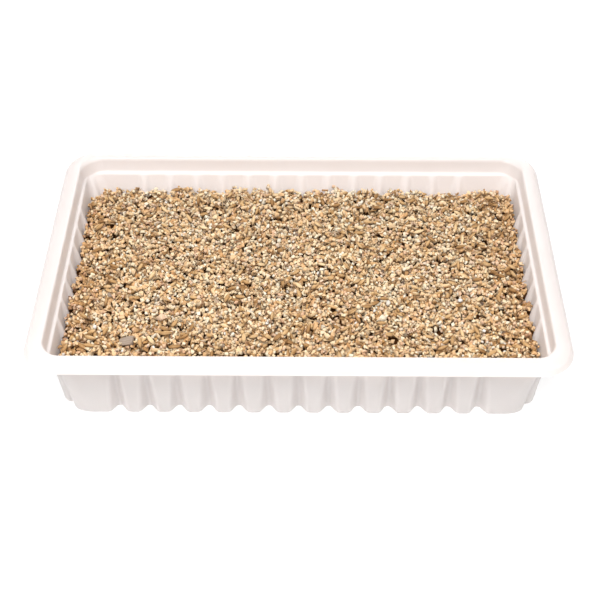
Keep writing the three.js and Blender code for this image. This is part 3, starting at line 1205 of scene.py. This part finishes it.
@dataclass
class Bed:
    """The sown bed: loose pieces dropped one by one onto what lies there already."""

    outline: TrayOutline
    depth: float = 18.2 * MM
    loose: float = 3.0 * MM
    swell: float = 0.45 * MM
    long_swell: tuple[float, float] = (31 * MM, 23 * MM)
    short_swell: tuple[float, float] = (13 * MM, 17 * MM)
    cell: float = 0.36 * MM
    tries: int = 3
    batch: int = 400
    border: int = 60
    perched: float = 0.75
    lift: float = 0.4
    steepest: float = 0.6
    clear: float = 0.8 * MM
    clear_long: float = 0.44
    clear_wide: float = 0.22
    # painted shade near the left, right and front walls: its reach and strength
    wall_shade_reach: float = 12 * MM
    wall_shade: float = 0.36
    rng: np.random.Generator = field(default_factory=lambda: np.random.default_rng(SEED))

    def __post_init__(self) -> None:
        """Lays out the height map on which pieces come to rest."""
        self.columns = math.ceil(self.outline.length / self.cell) + 1
        self.lines = math.ceil(self.outline.width / self.cell) + 1
        x = (np.arange(self.columns) - self.columns / 2) * self.cell
        y = (np.arange(self.lines) - self.lines / 2) * self.cell
        self.level = self.top(*np.meshgrid(x, y, indexing="ij"))
        self.heights = self.level - self.loose
        wall = self.outline.wall(self.depth + self.loose)
        self.row = replace(wall, half=wall.half + self.clear)

    def top(self, x: np.ndarray, y: np.ndarray) -> np.ndarray:
        """Gives the bed's level, gently uneven as poured and shaken."""
        long_wave = np.sin(x / self.long_swell[0] + 1) * np.cos(y / self.long_swell[1])
        short_wave = np.sin(x / self.short_swell[0] + y / self.short_swell[1])
        level = self.outline.height - self.depth + self.swell * (long_wave + short_wave)
        for swell in BED_SWELLS:
            distance = np.hypot(x / MM - swell.x, y / MM - swell.y) / swell.reach
            level += swell.rise * MM * np.exp(-0.5 * distance**2)
        return level

    def patch(self, x: float, y: float, reach: float) -> tuple[slice, slice, np.ndarray, np.ndarray]:
        """Finds the height map's cells round a place.

        Args:
            x: The place along the tray.
            y: The place across it.
            reach: How far round it.

        Returns:
            The cells' slices, and their offsets from the place.
        """
        i = x / self.cell + self.columns / 2
        j = y / self.cell + self.lines / 2
        n = reach / self.cell
        i0, i1 = max(int(i - n), 0), min(int(i + n) + 2, self.columns)
        j0, j1 = max(int(j - n), 0), min(int(j + n) + 2, self.lines)
        dx = (np.arange(i0, i1) - i)[:, None] * self.cell
        dy = (np.arange(j0, j1) - j)[None, :] * self.cell
        return slice(i0, i1), slice(j0, j1), dx, dy

    def drop(
        self,
        heap: Heap,
        size: np.ndarray,
        place: tuple[float, float],
        turn: float,
        tint: float,
    ) -> None:
        """Drops one piece and lets it come to rest.

        Args:
            heap: Its kind.
            size: Its length, width and thickness.
            place: Where it falls.
            turn: Which way it points.
            tint: Its tint.
        """
        length, width, thick = size
        i, j, dx, dy = self.patch(*place, 0.5 * length)
        cos, sin = math.cos(turn), math.sin(turn)
        along = dx * cos + dy * sin
        across = dy * cos - dx * sin
        spread = (2 * along / length) ** 2 + (2 * across / width) ** 2
        under = spread < 1
        weight = int(under.sum())
        if not weight:
            return
        ground = self.heights[i, j]
        covered = ground[under]
        mean = float(covered.mean())
        rest = (1 - self.perched) * mean + self.perched * float(covered.max())
        lean_long = lean_wide = 0.0
        if weight > 5:
            a, b = along[under], across[under]
            lean_long = float((covered - mean) @ a) / float(a @ a)
            lean_wide = float((covered - mean) @ b) / float(b @ b)
        lean_long = max(-self.steepest, min(self.steepest, lean_long))
        lean_wide = max(-self.steepest, min(self.steepest, lean_wide))
        height = rest + self.lift * thick
        dome = np.sqrt(np.maximum(1 - spread, 0)) * 0.5 * thick
        surface = height + dome + lean_long * along + lean_wide * across
        self.heights[i, j] = np.where(under, np.maximum(ground, surface), ground)
        spin = Matrix.Rotation(turn, 3, "Z") @ Matrix.Rotation(-math.atan(lean_long), 3, "Y")
        roll = math.atan(lean_wide)
        if heap.form in TUMBLED_FORMS:
            roll += float(self.rng.normal()) * TUMBLING
        if heap.form in ROLLED_FORMS:
            roll += float(self.rng.uniform(0, 2 * math.pi))
        pitch = float(self.rng.normal()) * PITCH[heap.form]
        spin = spin @ Matrix.Rotation(pitch, 3, "Y") @ Matrix.Rotation(roll, 3, "X")
        variant = int(self.rng.integers(len(heap.shapes)))
        heap.laid.append(Laid(variant, np.array(spin) * size, (*place, height), tint))

    def rain(self, mix: list[tuple[Heap, float]], count: int) -> None:
        """Drops a number of pieces of several kinds, each where it lies lowest of a few places.

        Args:
            mix: The kinds and their shares.
            count: The number of pieces.
        """
        shares = np.array([share for _, share in mix])
        picks = self.rng.choice(len(mix), size=count, p=shares / shares.sum())
        ranges = np.array([heap.sizes() for heap, _ in mix])[picks]
        tints = np.array([heap.tint for heap, _ in mix])[picks]
        sizes = ranges[:, 0] + (ranges[:, 1] - ranges[:, 0]) * self.rng.random((count, 3))
        tint = tints[:, 0] + (tints[:, 1] - tints[:, 0]) * self.rng.random(count)
        turns = self.rng.uniform(0, 2 * math.pi, count)
        x = self.rng.uniform(-0.5, 0.5, (count, self.tries)) * self.outline.length
        y = self.rng.uniform(-0.5, 0.5, (count, self.tries)) * self.outline.width
        margin = (self.clear_long * sizes[:, 0] + self.clear_wide * sizes[:, 1])[:, None]
        free = self.outline.inside(x, y, self.row, margin)
        i = (x / self.cell + self.columns / 2).astype(int)
        j = (y / self.cell + self.lines / 2).astype(int)
        for n in range(count):
            if not free[n].any():
                continue
            rise = self.heights[i[n], j[n]] - self.level[i[n], j[n]]
            best = int(np.where(free[n], rise, math.inf).argmin())
            place = (float(x[n, best]), float(y[n, best]))
            # painted shade: pieces near the left, right and front walls get a darker tint
            own_tint = float(tint[n]) - self.wall_shade * self.wall_shade_share(*place)
            self.drop(mix[picks[n]][0], sizes[n], place, float(turns[n]), own_tint)

    def wall_shade_share(self, x: float, y: float) -> float:
        """Says how near a place is to the left, right or front wall, up to 1: painted shade darkens the
        tint there.
        """
        gap = min(self.outline.length / 2 - abs(x), self.outline.width / 2 + y) - self.row.inset
        return math.exp(-max(gap, 0.0) / self.wall_shade_reach)

    def fill(self, mix: list[tuple[Heap, float]], until: float) -> None:
        """Drops pieces until the bed's mean height reaches a level.

        Args:
            mix: The kinds and their shares.
            until: How far above the bed's level, in metres.
        """
        inner = (slice(self.border, -self.border), slice(self.border, -self.border))
        while float((self.heights[inner] - self.level[inner]).mean()) < until:
            self.rain(mix, self.batch)


CREAM = (
    (0.0, linear(196, 152, 102)),
    (0.25, linear(236, 196, 148)),
    (0.55, linear(251, 224, 184)),
    (0.8, linear(252, 238, 206)),
    (1.0, linear(255, 248, 230)),
)
BUFF = (
    (0.0, linear(176, 130, 78)),
    (0.3, linear(230, 184, 132)),
    (0.65, linear(250, 215, 170)),
    (1.0, linear(253, 236, 198)),
)
TAN = (
    (0.0, linear(140, 96, 54)),
    (0.35, linear(196, 150, 96)),
    (0.7, linear(232, 194, 140)),
    (1.0, linear(246, 218, 172)),
)
ROSY = (
    (0.0, linear(182, 132, 96)),
    (0.4, linear(230, 188, 152)),
    (0.75, linear(246, 216, 186)),
    (1.0, linear(252, 234, 212)),
)
CHALK = (
    (0.0, linear(222, 212, 196)),
    (0.6, linear(244, 240, 230)),
    (1.0, linear(253, 252, 248)),
)
SLATE = (
    (0.0, linear(104, 90, 80)),
    (0.6, linear(150, 134, 120)),
    (1.0, linear(186, 172, 158)),
)

COARSE = {"length": (2.2, 3.6), "width": (1.6, 2.6), "thick": (1.4, 2.2), "tint": (0.2, 0.9)}
GRANULE = {"length": (1.1, 2.5), "width": (0.9, 1.7), "thick": (1.0, 1.9), "tint": (0.4, 1.0)}
BOOK = {"length": (1.8, 3.8), "width": (0.9, 1.7), "thick": (0.9, 1.7), "tint": (0.35, 1.0)}
PLATE = {"length": (1.7, 3.6), "width": (1.2, 2.4), "thick": (0.35, 0.6)}
SLATE_PLATE = {"length": (1.8, 3.4), "width": (1.3, 2.3), "thick": (0.4, 0.7)}
CRUMB = {"length": (0.7, 1.4), "width": (0.6, 1.1), "thick": (0.5, 0.9)}
PALE_CRUMB = {"length": (0.7, 1.3), "width": (0.6, 1.0), "thick": (0.5, 0.9)}
KERNEL = {"length": (5.2, 6.8), "width": (1.7, 2.3), "thick": (1.6, 2.1)}
HUSK = {"length": (3.2, 7.0), "width": (0.5, 1.1), "thick": (0.35, 0.7)}
FLECK = {"length": (1.2, 2.3), "width": (1.0, 1.7), "thick": (0.8, 1.4)}


def bed_heaps() -> dict[str, Heap]:
    """Lists the kinds of loose pieces in the bed, with sizes in millimetres.

    Returns:
        The kinds by name.
    """
    flaky = Granules("flaky_vermiculite", CREAM, glint=0.5)
    slate = Granules("slate_grey", SLATE, glint=0.5)
    straw = GrainSkin("dry_husk", streaked=0.2)
    kinds = [
        Heap("coarse_granules", Form.CHUNK, Granules("coarse_vermiculite", BUFF), **COARSE),
        Heap("cream_granules", Form.CHUNK, Granules("cream_vermiculite", CREAM), **GRANULE, variants=10),
        Heap("buff_granules", Form.CHUNK, Granules("buff_vermiculite", BUFF), **GRANULE, variants=10),
        Heap("tan_granules", Form.CHUNK, Granules("tan_vermiculite", TAN), **GRANULE, variants=8),
        Heap("rosy_granules", Form.CHUNK, Granules("rosy_vermiculite", ROSY), **GRANULE, variants=8),
        Heap("puffed_granules", Form.LUMP, Granules("puffed_vermiculite", CREAM), **GRANULE, variants=8),
        Heap("cream_books", Form.BOOK, Granules("cream_leaves", CREAM), **BOOK, variants=8),
        Heap("buff_books", Form.BOOK, Granules("buff_leaves", BUFF), **BOOK, variants=8),
        Heap("rosy_books", Form.BOOK, Granules("rosy_leaves", ROSY), **BOOK),
        Heap("thin_flakes", Form.FLAKE, flaky, **PLATE),
        Heap("fine_crumbs", Form.CRUMB, Granules("buff_crumbs", BUFF), **CRUMB),
        Heap("pale_crumbs", Form.CRUMB, Granules("cream_crumbs", CREAM), **PALE_CRUMB),
        Heap("wheat_grains", Form.GRAIN, GrainSkin(), **KERNEL),
        Heap("husk_slivers", Form.SLIVER, straw, **HUSK, variants=4),
        Heap("chalky_flecks", Form.LUMP, Granules("chalky_white", CHALK), **FLECK),
        Heap("slate_flakes", Form.FLAKE, slate, **SLATE_PLATE),
    ]
    return {heap.name: heap for heap in kinds}


LOWER_LEVEL = -1.8 * MM
UPPER_LEVEL = 0.5 * MM
LOWER_MIX = {"coarse_granules": 0.9, "wheat_grains": 0.02}
UPPER_MIX = {
    "cream_granules": 0.27,
    "buff_granules": 0.19,
    "tan_granules": 0.06,
    "rosy_granules": 0.12,
    "puffed_granules": 0.11,
    "cream_books": 0.055,
    "buff_books": 0.05,
    "rosy_books": 0.035,
    "thin_flakes": 0.06,
    "fine_crumbs": 0.08,
    "pale_crumbs": 0.05,
    "wheat_grains": 0.042,
    "husk_slivers": 0.08,
    "chalky_flecks": 0.01,
    "slate_flakes": 0.004,
}


@dataclass(frozen=True)
class Strewn:
    """A larger piece that lies on top in its own place, in millimetres."""

    kind: str
    place: tuple[float, float]
    size: tuple[float, float, float]
    turn: float
    tint: float


ON_TOP = (
    Strewn("slate_flakes", (-85.3, -55.2), (7.6, 5.2, 1.2), turn=0.2, tint=0.75),
    Strewn("chalky_flecks", (82.8, -23.2), (2.6, 2.2, 1.8), turn=0.4, tint=0.9),
    Strewn("chalky_flecks", (-102.6, -45.2), (2.4, 2.0, 1.8), turn=0.9, tint=0.8),
    Strewn("chalky_flecks", (45.6, -25.0), (3.4, 2.6, 2.2), turn=0.3, tint=0.3),
    Strewn("husk_slivers", (25.7, -46.5), (10.0, 1.1, 0.8), turn=1.5, tint=0.3),
    Strewn("cream_granules", (42.0, -38.9), (3.6, 2.8, 2.2), turn=0.2, tint=0.9),
    Strewn("rosy_books", (56.2, -48.5), (5.4, 3.0, 2.4), turn=0.1, tint=0.8),
    Strewn("rosy_books", (-114.1, -32.4), (4.6, 3.0, 2.4), turn=1.2, tint=0.6),
    Strewn("rosy_granules", (-69.5, -39.7), (5.0, 3.0, 2.2), turn=0.1, tint=0.7),
    Strewn("wheat_grains", (-66.5, -48.7), (6.8, 2.2, 2.1), turn=0.12, tint=0.45),
    Strewn("wheat_grains", (-103.8, -49.3), (6.4, 2.2, 2.1), turn=-0.2, tint=0.4),
    Strewn("wheat_grains", (-103.8, -53.4), (6.2, 2.1, 2.0), turn=-0.25, tint=0.6),
    Strewn("wheat_grains", (-108.7, -38.9), (6.0, 2.0, 1.9), turn=0.0, tint=0.35),
    Strewn("wheat_grains", (-109.8, -55.6), (6.2, 2.1, 2.0), turn=1.9, tint=0.3),
    Strewn("wheat_grains", (-67.6, -44.6), (6.2, 2.0, 1.9), turn=0.05, tint=0.35),
    Strewn("wheat_grains", (-103.7, -58.5), (6.4, 2.0, 1.9), turn=-0.05, tint=0.4),
    Strewn("wheat_grains", (-61.5, -58.2), (6.4, 2.1, 2.0), turn=0.1, tint=0.35),
)


def sow(outline: TrayOutline) -> list[bpy.types.Object]:
    """Makes the bed's loose pieces.

    Args:
        outline: The tray's plan.

    Returns:
        The finished pieces, one for each kind.
    """
    bed = Bed(outline)
    heaps = bed_heaps()
    maker = ShapeMaker(np.random.default_rng(SEED + 1))
    for heap in heaps.values():
        heap.shapes = [maker.make(heap.form) for _ in range(heap.variants)]
    bed.fill([(heaps[name], share) for name, share in LOWER_MIX.items()], LOWER_LEVEL)
    bed.fill([(heaps[name], share) for name, share in UPPER_MIX.items()], UPPER_LEVEL)
    for item in ON_TOP:
        place = (item.place[0] * MM, item.place[1] * MM)
        bed.drop(heaps[item.kind], np.array(item.size) * MM, place, item.turn, item.tint)
    for heap in heaps.values():
        log.info("%s: %d laid", heap.name, len(heap.laid))
    return [heap.build() for heap in heaps.values()]


@dataclass
class Studio:
    """A plain pale floor, soft light from above and behind, and the camera."""

    eye: tuple[float, float, float] = (5.5 * MM, -551.9 * MM, 489.0 * MM)
    pitch: float = 41.0
    yaw: float = 0.56
    roll: float = 0.09
    lens: float = 81.72
    sensor: float = 36
    sky: float = 0.5
    key_size: float = 0.7
    key_place: tuple[float, float, float] = (-0.12, -0.65, 1.0)
    key_power: float = 14.6
    back_size: float = 0.9
    back_place: tuple[float, float, float] = (0.1, 1.1, 0.25)
    back_power: float = 6.5
    floor_size: float = 8
    floor_drop: float = 0.1 * MM

    def camera(self) -> None:
        """Sets up the camera."""
        data = bpy.data.cameras.new("view")
        data.lens = self.lens
        data.sensor_width = self.sensor
        data.clip_start = 0.01
        camera = bpy.data.objects.new("view", data)
        turn = Matrix.Rotation(math.radians(self.yaw), 4, "Z")
        turn = turn @ Matrix.Rotation(math.radians(90 - self.pitch), 4, "X")
        turn = turn @ Matrix.Rotation(math.radians(-self.roll), 4, "Z")
        camera.matrix_world = Matrix.Translation(self.eye) @ turn
        bpy.context.collection.objects.link(camera)
        bpy.context.scene.camera = camera

    def lights(self) -> None:
        """Sets up the sky, the soft lamp above and the bright panel behind."""
        world = bpy.data.worlds.new("studio")
        world.use_nodes = True
        background = world.node_tree.nodes["Background"]
        background.inputs["Color"].default_value = (1.0, 1.0, 1.0, 1.0)
        background.inputs["Strength"].default_value = self.sky
        bpy.context.scene.world = world
        self.panel("softbox", self.key_size, self.key_place, self.key_power)
        self.panel("backdrop", self.back_size, self.back_place, self.back_power)
        bpy.context.scene.view_settings.view_transform = "Standard"

    @staticmethod
    def panel(name: str, size: float, place: tuple[float, float, float], power: float) -> None:
        """Hangs up a square lamp that faces the tray.

        Args:
            name: The lamp's name.
            size: Its side.
            place: Its place.
            power: Its power in watts.
        """
        data = bpy.data.lights.new(name, "AREA")
        data.size = size
        data.energy = power
        lamp = bpy.data.objects.new(name, data)
        lamp.location = place
        lamp.rotation_euler = (-Vector(place)).to_track_quat("-Z", "Y").to_euler()
        bpy.context.collection.objects.link(lamp)

    def floor(self) -> None:
        """Lays the floor."""
        deselect()
        bpy.ops.mesh.primitive_plane_add(size=self.floor_size, location=(0, 0, -self.floor_drop))
        plane = bpy.context.object
        plane.name = "floor"
        plane.data.materials.append(PaleFloor().make())


def carry(piece: bpy.types.Object, node: str) -> None:
    """Says which node a piece stands for and reports it.

    Args:
        piece: The piece.
        node: The node that it replaces.
    """
    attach(piece, BODY)
    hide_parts(node)
    triangles = sum(polygon.loop_total - 2 for polygon in piece.data.polygons)
    log.info("%s: %d triangles, stands for %s", piece.name, triangles, node)


def main() -> None:
    """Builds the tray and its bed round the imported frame."""
    logging.basicConfig(level=logging.INFO, format="%(name)s: %(message)s")
    studio = Studio()
    studio.camera()
    studio.lights()
    studio.floor()
    low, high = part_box("tray")
    outline = TrayOutline(high[0] - low[0], high[1] - low[1], high[2])
    carry(TrayShell(outline).build(), "tray")
    carry(BedCore(outline).build(), "sown_vermiculite_bed")
    for piece in sow(outline):
        carry(piece, "sown_vermiculite_bed")


if __name__ == "__main__":
    main()
